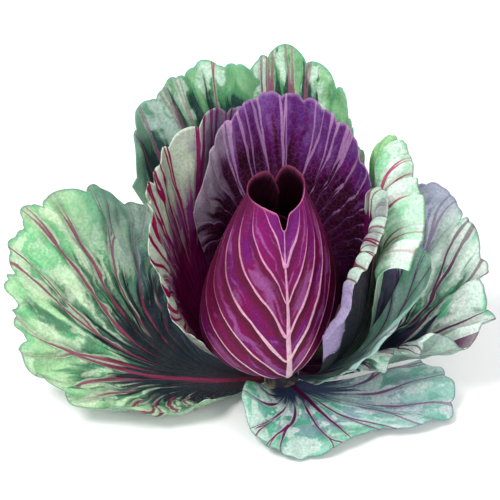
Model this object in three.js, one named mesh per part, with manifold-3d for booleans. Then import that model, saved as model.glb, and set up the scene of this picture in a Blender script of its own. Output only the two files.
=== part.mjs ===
// A red cabbage with its wrapper leaves open, cut from the ground at the stalk.
// Millimetres, +Z up. The origin is the centre of the stalk's cut face, which lies on z = 0.
// Every leaf is one surface that climbs from the stalk to a rim given by stations round the head.
import * as THREE from "three";
import { mergeVertices } from "three/addons/utils/BufferGeometryUtils.js";
import Module from "manifold-3d";

const wasm = await Module();
wasm.setup();

// ---- driving dimensions ----
const STALK_FOOT_RADIUS = 17; // at the cut face
const STALK_TOP_RADIUS = 9.5;
const STALK_HEIGHT = 64;
const STALK_SIDES = 20;
const STALK_EDGE = 1.5; // softening of the cut face's edge
const CROWN_HEIGHT = 6; // of the stalk's rounded top
const CROWN_SHARE = 0.6; // the crown's flat top as a share of the stalk's top radius
const LAMINA = 1.8; // thickness of a leaf blade
const RIB_EXTRA = 1.6; // what the midrib adds at the leaf's foot
const RIB_HALF_WIDTH = 0.3; // share of the half blade the midrib spreads over
const CLEARANCE = 0.3; // gap kept between neighbouring pieces
const FOOT_GAP = 1.4; // from the stalk's skin to a leaf's upper face at its foot
const FLOOR_LIFT = 2.1; // lowest a leaf's upper face goes, so its underside stays above z = 0
const FLOOR_SOFTNESS = 4; // how gently a sagging leaf meets the ground
const FACETS_ALONG = 8; // from foot to rim, where a leaf gives no number of its own
const FAN = 0.8; // how soon a leaf widens from its foot
const LOBE_ROUNDNESS = 0.6; // 1 is a sine's lobe, less is a fuller lobe with a sharper notch
const LOBE_DRIFT = 0.05; // how unevenly the lobes are spaced
const CORNER = 0.04; // how much of its length a leaf loses at its outer corners
const CORNER_START = 0.75; // share of the half width where the corner begins
const RUFFLE_START = 0.35; // share of the length where the waves begin
const DEGREE = Math.PI / 180;

const LEAF_GREEN = 0x7fae7d;
const BLUE_GREEN = 0x5f9184;
const HEAD_PURPLE = 0x7a2560;
const DARK_PURPLE = 0x3d1238;
const VIOLET = 0x5d3570;
const STALK_CREAM = 0xcfc7a0;

// ---- the leaves, innermost first ----
// rim: [azimuth in degrees, radius, height] at even steps from one side of the leaf to the other.
// foot: height of the leaf's foot on the stalk. rise, tip: slope in degrees at the foot and at the rim.
// reach, pull: how far the slope at the foot and at the rim carries, as shares of the chord.
// gather, fan: how narrow the foot is against the rim, and how soon the leaf widens.
// lobes, notch: rounded lobes of the margin. corner: how much the outer corners are rounded off.
// ruffle, waves: height in mm and number of the margin's waves. roll: the margin rolled outward.
// A list holds values at even steps across the leaf. across, along: facets each way.
const LEAVES = [
  {
    name: "core_leaf_c", colour: DARK_PURPLE, across: 10, foot: 56, rise: [35], tip: [110], reach: [0.14],
    pull: 0.2, gather: 0.6, lean: -0.02,
    rim: [[-120, 6, 150], [-60, 10, 140], [0, 8, 146], [60, 6, 152], [120, 4, 156]],
  },
  {
    name: "core_leaf_b", colour: DARK_PURPLE, across: 12, foot: 52, rise: [30], tip: [112], reach: [0.2],
    pull: 0.25, gather: 0.6, lean: -0.02,
    rim: [[10, 12, 176], [60, 13, 182], [110, 13, 186], [160, 13, 182], [210, 12, 174], [250, 10, 168]],
  },
  {
    name: "core_leaf_a", colour: DARK_PURPLE, across: 12, foot: 47, rise: [30], tip: [115], reach: [0.26],
    pull: 0.3, gather: 0.6, lean: -0.02,
    rim: [[-190, 15, 192], [-140, 18, 196], [-90, 17, 186], [-40, 17, 190], [10, 14, 198]],
  },
  {
    name: "heart_leaf", colour: HEAD_PURPLE, across: 30, along: 12, foot: 41,
    rise: [-5, -5, 0, 6, 8, 6, 30, 44, 34, 14, 0],
    tip: [108, 108, 112, 117, 113, 108, 109, 112, 110, 108, 108],
    reach: [0.48, 0.5, 0.54, 0.6, 0.58, 0.48, 0.42, 0.41, 0.43, 0.45, 0.46], pull: 0.5, gather: 0.7,
    fan: 0.5, lean: -0.02, wrap: 3, phase: 1, slit: { at: 0, width: 0.035, depth: 0.06 },
    roll: { from: 0.955, angle: 60, radius: [7] },
    rim: [
      [-266, 12, 212], [-243, 22, 220], [-206, 27, 218], [-167, 29, 214], [-125, 27, 211], [-85, 24, 206],
      [-45, 22, 211], [-5, 20, 217], [38, 21, 223], [76, 21, 226], [104, 15, 222],
    ],
  },
  {
    name: "back_cup_leaf", colour: VIOLET, across: 18, foot: 37, rise: [0],
    tip: [92, 86, 76, 72, 72, 74, 80, 86], reach: [0.44], pull: 0.4, gather: 0.6, lobes: 11, notch: 0.02,
    ruffle: 2.5, waves: 5, phase: 1.5,
    rim: [
      [24, 82, 214], [42, 90, 229], [60, 99, 242], [79, 106, 254], [97, 106, 259], [115, 101, 250],
      [132, 96, 222], [150, 92, 176],
    ],
  },
  {
    name: "left_cup_leaf", colour: VIOLET, across: 18, foot: 35, rise: [0],
    tip: [75, 75, 75, 75, 72, 62, 56], reach: [0.46], pull: 0.4, gather: 0.3, lobes: 11, notch: 0.03,
    ruffle: 3, waves: 5, phase: 0.5,
    rim: [
      [104, 124, 244], [128, 118, 241], [150, 125, 224], [169, 122, 208], [185, 119, 180],
      [200, 112, 130], [216, 94, 96],
    ],
  },
  {
    name: "right_cup_leaf", colour: DARK_PURPLE, across: 16, along: 12, foot: 32, rise: [-2],
    tip: [84, 88, 92, 92, 92, 90, 88, 86], reach: [0.4], pull: 0.42, gather: 0.45, lobes: 12,
    notch: 0.025, phase: 2.5, roll: { from: 0.9, angle: 120, radius: [6, 9, 8, 10, 10, 9, 8, 7] },
    rim: [
      [-62, 68, 110], [-51, 73, 128], [-39, 66, 147], [-26, 69, 163], [-14, 73, 181], [-2, 77, 193],
      [10, 79, 201], [21, 77, 207],
    ],
  },
  {
    name: "right_upper_leaf", colour: LEAF_GREEN, across: 14, along: 12, foot: 27, rise: [0],
    tip: [92, 90, 86, 84, 86, 86], reach: [0.52, 0.5, 0.48, 0.45, 0.42, 0.4], pull: 0.4, gather: 0.5,
    lobes: 8, notch: 0.03, corner: 0.07, ruffle: 3, waves: 3, phase: 4,
    roll: { from: 0.74, angle: 105, radius: [26, 28, 28, 26, 22, 17] },
    rim: [[-17, 82, 146], [-5, 87, 148], [8, 90, 160], [20, 93, 186], [32, 98, 206], [46, 106, 222]],
  },
  {
    name: "back_leaf", colour: LEAF_GREEN, across: 20, foot: 24, rise: [0],
    tip: [85, 72, 64, 62, 62, 64, 68, 72], reach: [0.42, 0.42, 0.42, 0.42, 0.42, 0.4, 0.36, 0.34],
    pull: 0.35, gather: 0.5, lobes: 10, notch: 0.035, ruffle: 5, waves: 5, phase: 3,
    dip: { at: 0.12, width: 0.06, depth: 0.04 },
    rim: [
      [46, 108, 182], [57, 124, 220], [71, 152, 250], [88, 168, 272], [102, 170, 262], [120, 180, 256],
      [138, 176, 232], [154, 158, 190],
    ],
  },
  {
    name: "right_lower_leaf", colour: BLUE_GREEN, across: 14, foot: 20, rise: [9],
    tip: [42, 42, 45, 50, 54, 56, 58, 60], reach: [0.45], pull: 0.32, gather: 0.5, lobes: 7, notch: 0.025,
    phase: 5,
    rim: [
      [-56, 60, 44], [-46, 86, 70], [-34, 106, 97], [-23, 112, 113], [-11, 122, 120], [1, 131, 120],
      [12, 138, 126], [24, 136, 132],
    ],
  },
  {
    name: "far_right_leaf", colour: BLUE_GREEN, across: 22, foot: 17,
    rise: [-14, -11, -5, 0, 2, 2, 2, 2, 2, 2], tip: [10, 14, 22, 25, 25, 25, 25, 25, 25, 25],
    reach: [0.38], pull: 0.35, gather: 0.5, lobes: 10, notch: 0.035, ruffle: 7, waves: 6, phase: 6,
    rim: [
      [-24, 104, 58], [-18, 118, 69], [-12, 142, 78], [-6, 172, 69], [1, 192, 78], [9, 190, 92],
      [17, 198, 112], [25, 190, 142], [33, 178, 160], [43, 160, 166],
    ],
  },
  {
    name: "front_leaf", colour: BLUE_GREEN, across: 20, foot: 13, rise: [-4], tip: [-5], reach: [0.35],
    pull: 0.35, gather: 0.6, lobes: 10, notch: 0.035, ruffle: 3.5, waves: 5, phase: 8,
    rim: [
      [219, 44, 33], [240, 72, 24], [257, 93, 12], [273, 106, 6], [293, 108, 6], [316, 110, 12],
      [332, 142, 8], [342, 163, 8], [354, 158, 18], [365, 138, 28],
    ],
  },
  {
    name: "left_outer_leaf", colour: LEAF_GREEN, across: 24, foot: 11, rise: [-8],
    tip: [45, 42, 38, 35, 35, 35, 35, 35, 35, 35, 35], reach: [0.4], pull: 0.35, gather: 0.5, lobes: 13,
    notch: 0.045, ruffle: 5, waves: 6, phase: 7,
    rim: [
      [138, 164, 132], [147, 198, 154], [155, 226, 160], [164, 254, 150], [172, 256, 114], [180, 248, 70],
      [187, 230, 42], [194, 204, 30], [202, 168, 26], [210, 128, 22], [218, 88, 24],
    ],
  },
  {
    name: "back_left_leaf", colour: LEAF_GREEN, across: 12, foot: 8, rise: [-14], tip: [28],
    reach: [0.35], pull: 0.35, gather: 0.5, lobes: 9, notch: 0.035, ruffle: 4, waves: 4, phase: 9,
    rim: [[92, 150, 60], [106, 172, 40], [120, 184, 26], [134, 182, 22], [148, 168, 36]],
  },
  {
    name: "back_right_leaf", colour: LEAF_GREEN, across: 12, foot: 5, rise: [-10], tip: [22],
    reach: [0.35], pull: 0.35, gather: 0.5, lobes: 9, notch: 0.035, ruffle: 4, waves: 4, phase: 10,
    rim: [[34, 150, 34], [48, 168, 22], [62, 176, 20], [76, 168, 30], [90, 146, 44]],
  },
];

const clamp01 = (x) => Math.min(Math.max(x, 0), 1);

function ease(from, to, x) {
  const t = clamp01((x - from) / (to - from));
  return t * t * (3 - 2 * t);
}

// A smooth curve through evenly spaced values; u runs from -1 at the first to 1 at the last.
function through(values, u) {
  const last = values.length - 1;
  if (last === 0) return values[0];
  const place = ((u + 1) / 2) * last;
  const i = Math.min(Math.floor(place), last - 1);
  const t = place - i;
  const b = values[i];
  const c = values[i + 1];
  const a = i > 0 ? values[i - 1] : 2 * b - c;
  const d = i < last - 1 ? values[i + 2] : 2 * c - b;
  return 0.5 * (2 * b + (c - a) * t + (2 * a - 5 * b + 4 * c - d) * t * t + (3 * b - a - 3 * c + d) * t ** 3);
}

function stalkRadius(z) {
  return STALK_FOOT_RADIUS + ((STALK_TOP_RADIUS - STALK_FOOT_RADIUS) * z) / STALK_HEIGHT;
}

// How much of its full length the blade has at u: lobes, rounded corners, a dip and a slit shorten it.
function lengthShare(leaf, u) {
  const phase = leaf.phase ?? 0;
  const drifted = u + LOBE_DRIFT * Math.sin(5 * u + phase);
  const lobe = Math.abs(Math.sin((Math.PI / 2) * (leaf.lobes ?? 1) * (drifted + 1)));
  const corner = clamp01((Math.abs(u) - CORNER_START) / (1 - CORNER_START)) ** 2;
  let share = 1 - (leaf.notch ?? 0) * (1 - lobe ** LOBE_ROUNDNESS);
  share *= 1 - (leaf.corner ?? CORNER) * corner;
  for (const cut of [leaf.dip, leaf.slit]) {
    if (cut) share *= 1 - cut.depth * Math.exp(-(((u - cut.at) / cut.width) ** 2));
  }
  return share;
}

// Radius and height of the blade at u across and v along, before ruffles.
function profile(leaf, u, v) {
  const station = (k) => through(leaf.rim.map((s) => s[k]), u);
  const r0 = stalkRadius(leaf.foot) + FOOT_GAP + ((leaf.wrap ?? 0) * (u + 1)) / 2;
  const z0 = leaf.foot;
  const r3 = station(1);
  const z3 = station(2);
  const tip = through(leaf.tip, u) * DEGREE;
  const rise = through(leaf.rise, u) * DEGREE;
  const chord = Math.hypot(r3 - r0, z3 - z0);
  const out = through(leaf.reach, u) * chord;
  const r1 = r0 + out * Math.cos(rise);
  const z1 = z0 + out * Math.sin(rise);
  const r2 = r3 - leaf.pull * chord * Math.cos(tip);
  const z2 = z3 - leaf.pull * chord * Math.sin(tip);
  const from = leaf.roll ? leaf.roll.from : 1;
  const s = Math.min(v / from, 1) * lengthShare(leaf, u);
  const k = [(1 - s) ** 3, 3 * s * (1 - s) ** 2, 3 * s * s * (1 - s), s ** 3];
  let r = k[0] * r0 + k[1] * r1 + k[2] * r2 + k[3] * r3;
  let z = k[0] * z0 + k[1] * z1 + k[2] * z2 + k[3] * z3;
  if (leaf.roll) {
    const turned = leaf.roll.angle * DEGREE * clamp01((v - from) / (1 - from));
    const curl = through(leaf.roll.radius, u);
    r += curl * (Math.sin(tip) - Math.sin(tip - turned));
    z += curl * (Math.cos(tip - turned) - Math.cos(tip));
  }
  return [r, z];
}

// A point of the blade's upper face.
function bladePoint(leaf, u, v) {
  const step = 0.004;
  const [ra, za] = profile(leaf, u, Math.max(v - step, 0));
  const [rb, zb] = profile(leaf, u, Math.min(v + step, 1));
  const run = Math.hypot(rb - ra, zb - za) || 1;
  const wave = Math.sin(Math.PI * (leaf.waves ?? 0) * (u + 1) + 3 * (leaf.phase ?? 0));
  const lift = (leaf.ruffle ?? 0) * ease(RUFFLE_START, 1, v) * wave;
  let [r, z] = profile(leaf, u, v);
  r -= (lift * (zb - za)) / run;
  z += (lift * (rb - ra)) / run;
  const azimuths = leaf.rim.map((s) => s[0]);
  const middle = through(azimuths, 0);
  const narrowed = leaf.gather + (1 - leaf.gather) * v ** (leaf.fan ?? FAN);
  const azimuth = (middle + (through(azimuths, u) - middle) * narrowed) * DEGREE;
  const x = r * Math.cos(azimuth) + (leaf.lean ?? 0) * Math.max(z - leaf.foot, 0);
  const y = r * Math.sin(azimuth);
  const above = (z - FLOOR_LIFT) / FLOOR_SOFTNESS;
  const settled = FLOOR_LIFT + FLOOR_SOFTNESS * (above > 20 ? above : Math.log1p(Math.exp(above)));
  return new THREE.Vector3(x, y, settled);
}

// Unit directions across and along the blade, and the face normal, which points into the head.
function bladeFrame(leaf, u, v) {
  const h = 0.01;
  const across = bladePoint(leaf, Math.min(u + h, 1), v).sub(bladePoint(leaf, Math.max(u - h, -1), v));
  const along = bladePoint(leaf, u, Math.min(v + h, 1)).sub(bladePoint(leaf, u, Math.max(v - h, 0)));
  const normal = along.clone().cross(across).normalize();
  return { across: across.normalize(), along: along.normalize(), normal };
}

// One leaf as a closed body. grow swells it on every side, for cutting its neighbours clear.
function bladeGeometry(leaf, grow = 0) {
  const columns = leaf.across;
  const rows = leaf.along ?? FACETS_ALONG;
  const upper = [];
  const lower = [];
  for (let j = 0; j <= rows; j += 1) {
    for (let i = 0; i <= columns; i += 1) {
      const u = (2 * i) / columns - 1;
      const v = j / rows;
      const point = bladePoint(leaf, u, v);
      const { across, along, normal } = bladeFrame(leaf, u, v);
      if (i === 0 || i === columns) point.addScaledVector(across, Math.sign(u) * grow);
      if (j === 0 || j === rows) point.addScaledVector(along, (j === 0 ? -1 : 1) * grow);
      const rib = RIB_EXTRA * (1 - v) ** 2 * Math.exp(-((u / RIB_HALF_WIDTH) ** 2));
      upper.push(point.clone().addScaledVector(normal, grow));
      lower.push(point.clone().addScaledVector(normal, -(LAMINA + rib + grow)));
    }
  }
  const width = columns + 1;
  const triangles = [];
  const quad = (a, b, c, d) => triangles.push(a, b, c, a, c, d);
  for (let j = 0; j < rows; j += 1) {
    for (let i = 0; i < columns; i += 1) {
      const at = j * width + i;
      quad(upper[at], upper[at + width], upper[at + width + 1], upper[at + 1]);
      quad(lower[at], lower[at + 1], lower[at + width + 1], lower[at + width]);
    }
  }
  for (let i = 0; i < columns; i += 1) {
    const end = rows * width + i;
    quad(upper[i], upper[i + 1], lower[i + 1], lower[i]);
    quad(upper[end + 1], upper[end], lower[end], lower[end + 1]);
  }
  for (let j = 0; j < rows; j += 1) {
    const left = j * width;
    const right = left + columns;
    quad(upper[left + width], upper[left], lower[left], lower[left + width]);
    quad(upper[right], upper[right + width], lower[right + width], lower[right]);
  }
  return new THREE.BufferGeometry().setFromPoints(triangles);
}

// The stalk: a tapered core with a softened edge at the cut and a rounded top.
function stalkGeometry(grow = 0) {
  const shoulder = STALK_HEIGHT - CROWN_HEIGHT;
  const outline = [
    [0, -grow],
    [STALK_FOOT_RADIUS - STALK_EDGE + grow, -grow],
    [stalkRadius(STALK_EDGE) + grow, STALK_EDGE],
    [stalkRadius(shoulder) + grow, shoulder],
    [STALK_TOP_RADIUS * CROWN_SHARE + grow, STALK_HEIGHT + grow],
    [0, STALK_HEIGHT + grow],
  ];
  const points = outline.map(([r, z]) => new THREE.Vector2(r, z));
  return new THREE.LatheGeometry(points, STALK_SIDES).rotateX(Math.PI / 2);
}

function solid(geometry) {
  const plain = new THREE.BufferGeometry();
  const source = geometry.index ? geometry.toNonIndexed() : geometry;
  plain.setAttribute("position", source.getAttribute("position"));
  const merged = mergeVertices(plain, 1e-4);
  const mesh = new wasm.Mesh({
    numProp: 3,
    vertProperties: merged.attributes.position.array,
    triVerts: new Uint32Array(merged.index.array),
  });
  const made = new wasm.Manifold(mesh);
  if (made.volume() >= 0) return made;
  throw new Error("inside out");
}

function largestBody(body) {
  const bodies = body.decompose();
  return bodies.reduce((best, one) => (one.volume() > best.volume() ? one : best));
}

function asGeometry(body) {
  const mesh = body.getMesh();
  const positions = [];
  for (const vertex of mesh.triVerts) {
    for (let k = 0; k < 3; k += 1) positions.push(mesh.vertProperties[vertex * mesh.numProp + k]);
  }
  const geometry = new THREE.BufferGeometry();
  geometry.setAttribute("position", new THREE.Float32BufferAttribute(positions, 3));
  geometry.computeVertexNormals();
  return geometry;
}

function named(name, geometry, colour, roughness) {
  const material = new THREE.MeshStandardMaterial({ color: colour, roughness, metalness: 0 });
  const mesh = new THREE.Mesh(geometry, material);
  mesh.name = name;
  return mesh;
}

const cabbage = new THREE.Group();
cabbage.name = "red_cabbage";
cabbage.add(named("cut_stalk", stalkGeometry(), STALK_CREAM, 0.7));

const inside = [solid(stalkGeometry(CLEARANCE))];
for (const leaf of LEAVES) {
  let body = solid(bladeGeometry(leaf));
  for (const neighbour of inside) body = body.subtract(neighbour);
  cabbage.add(named(leaf.name, asGeometry(largestBody(body)), leaf.colour, 0.55));
  inside.push(solid(bladeGeometry(leaf, CLEARANCE)));
}

export default cabbage;
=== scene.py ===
"""A red cabbage with its wrapper leaves open: fine leaf surfaces, materials, floor, light and camera."""

import math

import bpy
import numpy as np
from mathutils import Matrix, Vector


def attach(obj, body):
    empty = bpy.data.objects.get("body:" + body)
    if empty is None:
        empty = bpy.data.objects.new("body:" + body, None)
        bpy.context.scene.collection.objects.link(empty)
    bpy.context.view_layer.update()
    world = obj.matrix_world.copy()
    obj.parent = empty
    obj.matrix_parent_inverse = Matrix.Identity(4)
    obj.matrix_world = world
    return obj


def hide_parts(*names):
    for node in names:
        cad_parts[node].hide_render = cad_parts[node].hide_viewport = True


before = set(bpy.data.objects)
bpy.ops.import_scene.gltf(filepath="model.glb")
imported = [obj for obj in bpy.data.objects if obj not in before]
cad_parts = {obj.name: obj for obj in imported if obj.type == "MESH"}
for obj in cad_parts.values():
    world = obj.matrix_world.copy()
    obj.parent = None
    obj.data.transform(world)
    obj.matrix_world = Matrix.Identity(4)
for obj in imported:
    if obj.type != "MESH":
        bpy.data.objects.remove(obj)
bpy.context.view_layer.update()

# ---- driving dimensions, in millimetres unless named otherwise ----
MM = 0.001
STALK_FOOT_RADIUS = 17.0
STALK_TOP_RADIUS = 9.5
STALK_HEIGHT = 64.0
FOOT_GAP = 1.4  # from the stalk's skin to a leaf's upper face at its foot
FLOOR_LIFT = 2.1  # lowest a leaf's upper face goes
FLOOR_SOFTNESS = 4.0  # how gently a sagging leaf meets the ground
FLOOR_GAP = 0.05  # lowest an underside goes
FAN = 0.8  # how soon a leaf widens from its foot
LOBE_ROUNDNESS = 0.6  # 1 is a sine's lobe, less is a fuller lobe with a sharper notch
LOBE_DRIFT = 0.05  # how unevenly the lobes are spaced
SCALLOPS = 2.6  # small scallops for each lobe
SCALLOP_SHARE = 0.35  # depth of a scallop as a share of a notch
CORNER = 0.04  # how much of its length a leaf loses at its outer corners
CORNER_START = 0.75  # share of the half width where the corner begins
RUFFLE_START = 0.35  # share of the length where the broad waves begin
FRILL_START = 0.72  # share of the length where the frills begin
BLISTER_SIZE = 26  # how far apart the quilting swells and sinks
SWAY_SIZE = 60  # how far apart the blade's slow undulations lie
PITCH_LIMITS = (0.5, 70)  # least and greatest gap between veins
VEIN_CROWD = 0.34  # a vein's greatest width as a share of that gap
BLADE = 1.0  # thickness of the blade between its veins
EDGE = 0.45  # thickness at the margin
RIB = 2.6  # what the midrib adds underneath, at the foot
VEIN_RIDGE = 0.45  # how far a vein stands up on the upper face
VEIN_KEEL = 0.9  # how far it stands out underneath
CAMERA_TARGET = (-0.030, 0.020, 0.143)  # metres
CAMERA_RISE = 35.0  # degrees above the horizon
CAMERA_AWAY = 1.69  # metres
CAMERA_LENS = 135.0

# ---- the leaves, innermost first ----
# rim: [azimuth in degrees, radius, height] at even steps from one side of the leaf to the other.
# foot: height on the stalk. rise, tip: slope at the foot and the rim. reach, pull: how far each
# slope carries, as shares of the chord. gather: how narrow the foot is against the rim.
# fan: how soon it widens. lean: sideways shift with height. wrap: how much further out one side is.
# lobes, notch: rounded lobes. corner: rounding of the outer corners. dip, slit: notches in the rim.
# ruffle, waves: broad waves. frill, frills: small waves at the margin. roll: margin rolled outward.
# phase: where the waves begin. quilt: how far the blade swells between its veins.
# veins: number of main veins fanning from the foot. vein_foot, vein_tip: their widths.
# bundle: how tightly they start together, where they part, and which side they leave from.
# crowding: the gaps between veins at which a vein fades out and is whole. midrib: its width.
# spacing, sweep, bend: set on a leaf whose side veins leave a midrib. grid: steps across and along.
# A list holds values at even steps across the leaf.
LEAVES = {
    "core_leaf_c": dict(
        grid=(60, 40), foot=56, rise=[35], tip=[110], reach=[0.14], pull=0.2, gather=0.6, lean=-0.02,
        rim=[[-120, 6, 150], [-60, 10, 140], [0, 8, 146], [60, 6, 152], [120, 4, 156]], veins=7, quilt=0.3,
    ),
    "core_leaf_b": dict(
        grid=(80, 50), foot=52, rise=[30], tip=[112], reach=[0.2], pull=0.25, gather=0.6, lean=-0.02,
        rim=[[10, 12, 176], [60, 13, 182], [110, 13, 186], [160, 13, 182], [210, 12, 174], [250, 10, 168]],
        veins=9, quilt=0.3,
    ),
    "core_leaf_a": dict(
        grid=(80, 50), foot=47, rise=[30], tip=[115], reach=[0.26], pull=0.3, gather=0.6, lean=-0.02,
        rim=[[-190, 15, 192], [-140, 18, 196], [-90, 17, 186], [-40, 17, 190], [10, 14, 198]], veins=9,
        quilt=0.3, frill=1.0, frills=5,
    ),
    "heart_leaf": dict(
        grid=(280, 115), foot=41, rise=[-5, -5, 0, 6, 8, 6, 30, 44, 34, 14, 0],
        tip=[108, 108, 112, 117, 113, 108, 109, 112, 110, 108, 108],
        reach=[0.48, 0.5, 0.54, 0.6, 0.58, 0.48, 0.42, 0.41, 0.43, 0.45, 0.46], pull=0.5, gather=0.7,
        fan=0.5, lean=-0.02, wrap=3, roll=dict(start=0.955, angle=60, radius=[7]),
        rim=[
            [-266, 12, 212], [-243, 22, 220], [-206, 27, 218], [-167, 29, 214], [-125, 27, 211],
            [-85, 24, 206], [-45, 22, 211], [-5, 20, 217], [38, 21, 223], [76, 21, 226], [104, 15, 222],
        ],
        slit=dict(at=0.0, width=0.035, depth=0.06), veins=1, spacing=0.15, sweep=1.45, bend=1.1, midrib=7.5,
        quilt=1.3, vein_foot=3.0, vein_tip=0.4, phase=1.0,
    ),
    "back_cup_leaf": dict(
        grid=(210, 85), foot=37, rise=[0], tip=[92, 86, 76, 72, 72, 74, 80, 86], reach=[0.44], pull=0.4,
        gather=0.6, lobes=11, notch=0.02, ruffle=2.5, waves=5, phase=1.5, frill=1.2, frills=15,
        rim=[
            [24, 82, 214], [42, 90, 229], [60, 99, 242], [79, 106, 254], [97, 106, 259], [115, 101, 250],
            [132, 96, 222], [150, 92, 176],
        ],
        veins=11, quilt=1.8, vein_foot=1.0, vein_tip=2.6, bundle=(0.25, 0.3, 0.1), crowding=(9, 20),
    ),
    "left_cup_leaf": dict(
        grid=(210, 95), foot=35, rise=[0], tip=[75, 75, 75, 75, 72, 62, 56], reach=[0.46], pull=0.4,
        gather=0.3, lobes=11, notch=0.03, ruffle=3, waves=5, phase=0.5, frill=1.6, frills=17,
        rim=[
            [104, 124, 244], [128, 118, 241], [150, 125, 224], [169, 122, 208], [185, 119, 180],
            [200, 112, 130], [216, 94, 96],
        ],
        veins=16, quilt=1.6, vein_foot=2.4, vein_tip=3.0, bundle=(0.3, 0.2, -0.6), crowding=(2, 7),
    ),
    "right_cup_leaf": dict(
        grid=(190, 85), foot=32, rise=[-2], tip=[84, 88, 92, 92, 92, 90, 88, 86], reach=[0.4], pull=0.42,
        gather=0.45, lobes=12, notch=0.025, phase=2.5,
        roll=dict(start=0.9, angle=120, radius=[6, 9, 8, 10, 10, 9, 8, 7]), frill=0.5, frills=11,
        rim=[
            [-62, 68, 110], [-51, 73, 128], [-39, 66, 147], [-26, 69, 163], [-14, 73, 181], [-2, 77, 193],
            [10, 79, 201], [21, 77, 207],
        ],
        veins=9, quilt=0.8, vein_foot=1.6, vein_tip=3.0, bundle=(0.2, 0.3, 1.0),
    ),
    "right_upper_leaf": dict(
        grid=(170, 100), foot=27, rise=[0], tip=[92, 90, 86, 84, 86, 86],
        reach=[0.52, 0.5, 0.48, 0.45, 0.42, 0.4], pull=0.4, gather=0.5, lobes=8, notch=0.03, ruffle=3,
        waves=3, phase=4, frill=1.6, frills=10, corner=0.07,
        roll=dict(start=0.74, angle=105, radius=[26, 28, 28, 26, 22, 17]),
        rim=[[-17, 82, 146], [-5, 87, 148], [8, 90, 160], [20, 93, 186], [32, 98, 206], [46, 106, 222]],
        veins=5, quilt=1.8, vein_foot=3.0, vein_tip=2.0,
    ),
    "back_leaf": dict(
        grid=(210, 85), foot=24, rise=[0], tip=[85, 72, 64, 62, 62, 64, 68, 72],
        reach=[0.42, 0.42, 0.42, 0.42, 0.42, 0.4, 0.36, 0.34], pull=0.35, gather=0.5, lobes=10, notch=0.035,
        ruffle=5, waves=5, phase=3, frill=1.8, frills=17, dip=dict(at=0.12, width=0.06, depth=0.04),
        rim=[
            [46, 108, 182], [57, 124, 220], [71, 152, 250], [88, 168, 272], [102, 170, 262],
            [120, 180, 256], [138, 176, 232], [154, 158, 190],
        ],
        veins=7, quilt=2.6, vein_foot=4.0, vein_tip=2.4,
    ),
    "right_lower_leaf": dict(
        grid=(150, 80), foot=20, rise=[9], tip=[42, 42, 45, 50, 54, 56, 58, 60], reach=[0.45], pull=0.32,
        gather=0.5, lobes=7, notch=0.025, phase=5, frill=1.2, frills=9,
        rim=[
            [-56, 60, 44], [-46, 86, 70], [-34, 106, 97], [-23, 112, 113], [-11, 122, 120], [1, 131, 120],
            [12, 138, 126], [24, 136, 132],
        ],
        veins=4, quilt=1.4, vein_foot=3.4, vein_tip=2.0, bundle=(0.4, 0.0, -0.3),
    ),
    "far_right_leaf": dict(
        grid=(220, 95), foot=17, rise=[-14, -11, -5, 0, 2, 2, 2, 2, 2, 2],
        tip=[10, 14, 22, 25, 25, 25, 25, 25, 25, 25], reach=[0.38], pull=0.35, gather=0.5, lobes=10,
        notch=0.035, ruffle=7, waves=6, phase=6, frill=2.0, frills=15,
        rim=[
            [-24, 104, 58], [-18, 118, 69], [-12, 142, 78], [-6, 172, 69], [1, 192, 78], [9, 190, 92],
            [17, 198, 112], [25, 190, 142], [33, 178, 160], [43, 160, 166],
        ],
        veins=9, quilt=2.8, vein_foot=4.6, vein_tip=2.6, bundle=(0.3, 0.1, -0.2),
    ),
    "front_leaf": dict(
        grid=(200, 85), foot=13, rise=[-4], tip=[-5], reach=[0.35], pull=0.35, gather=0.6, lobes=10,
        notch=0.035, ruffle=3.5, waves=5, phase=8, frill=1.8, frills=14,
        rim=[
            [219, 44, 33], [240, 72, 24], [257, 93, 12], [273, 106, 6], [293, 108, 6], [316, 110, 12],
            [332, 142, 8], [342, 163, 8], [354, 158, 18], [365, 138, 28],
        ],
        veins=8, quilt=2.2, vein_foot=3.6, vein_tip=1.6,
    ),
    "left_outer_leaf": dict(
        grid=(260, 110), foot=11, rise=[-8], tip=[45, 42, 38, 35, 35, 35, 35, 35, 35, 35, 35], reach=[0.4],
        pull=0.35, gather=0.5, lobes=13, notch=0.045, ruffle=5, waves=6, phase=7, frill=2.0, frills=21,
        rim=[
            [138, 164, 132], [147, 198, 154], [155, 226, 160], [164, 254, 150], [172, 256, 114],
            [180, 248, 70], [187, 230, 42], [194, 204, 30], [202, 168, 26], [210, 128, 22], [218, 88, 24],
        ],
        veins=11, quilt=3.4, vein_foot=5.0, vein_tip=1.7, bundle=(0.34, 0.1, -0.1), crowding=(5, 13),
    ),
    "back_left_leaf": dict(
        grid=(140, 70), foot=8, rise=[-14], tip=[28], reach=[0.35], pull=0.35, gather=0.5, lobes=9,
        notch=0.035, ruffle=4, waves=4, phase=9, frill=1.8, frills=11,
        rim=[[92, 150, 60], [106, 172, 40], [120, 184, 26], [134, 182, 22], [148, 168, 36]], veins=7,
        quilt=2.8, vein_foot=4.2, vein_tip=2.2,
    ),
    "back_right_leaf": dict(
        grid=(140, 70), foot=5, rise=[-10], tip=[22], reach=[0.35], pull=0.35, gather=0.5, lobes=9,
        notch=0.035, ruffle=4, waves=4, phase=10, frill=1.8, frills=11,
        rim=[[34, 150, 34], [48, 168, 22], [62, 176, 20], [76, 168, 30], [90, 146, 44]], veins=7, quilt=2.8,
        vein_foot=4.2, vein_tip=2.2,
    ),
}


# ---- surfaces ----
def ease(start, end, x):
    """0 before start and 1 after end, with a smooth climb between."""
    t = np.clip((x - start) / (end - start), 0, 1)
    return t * t * (3 - 2 * t)


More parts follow.
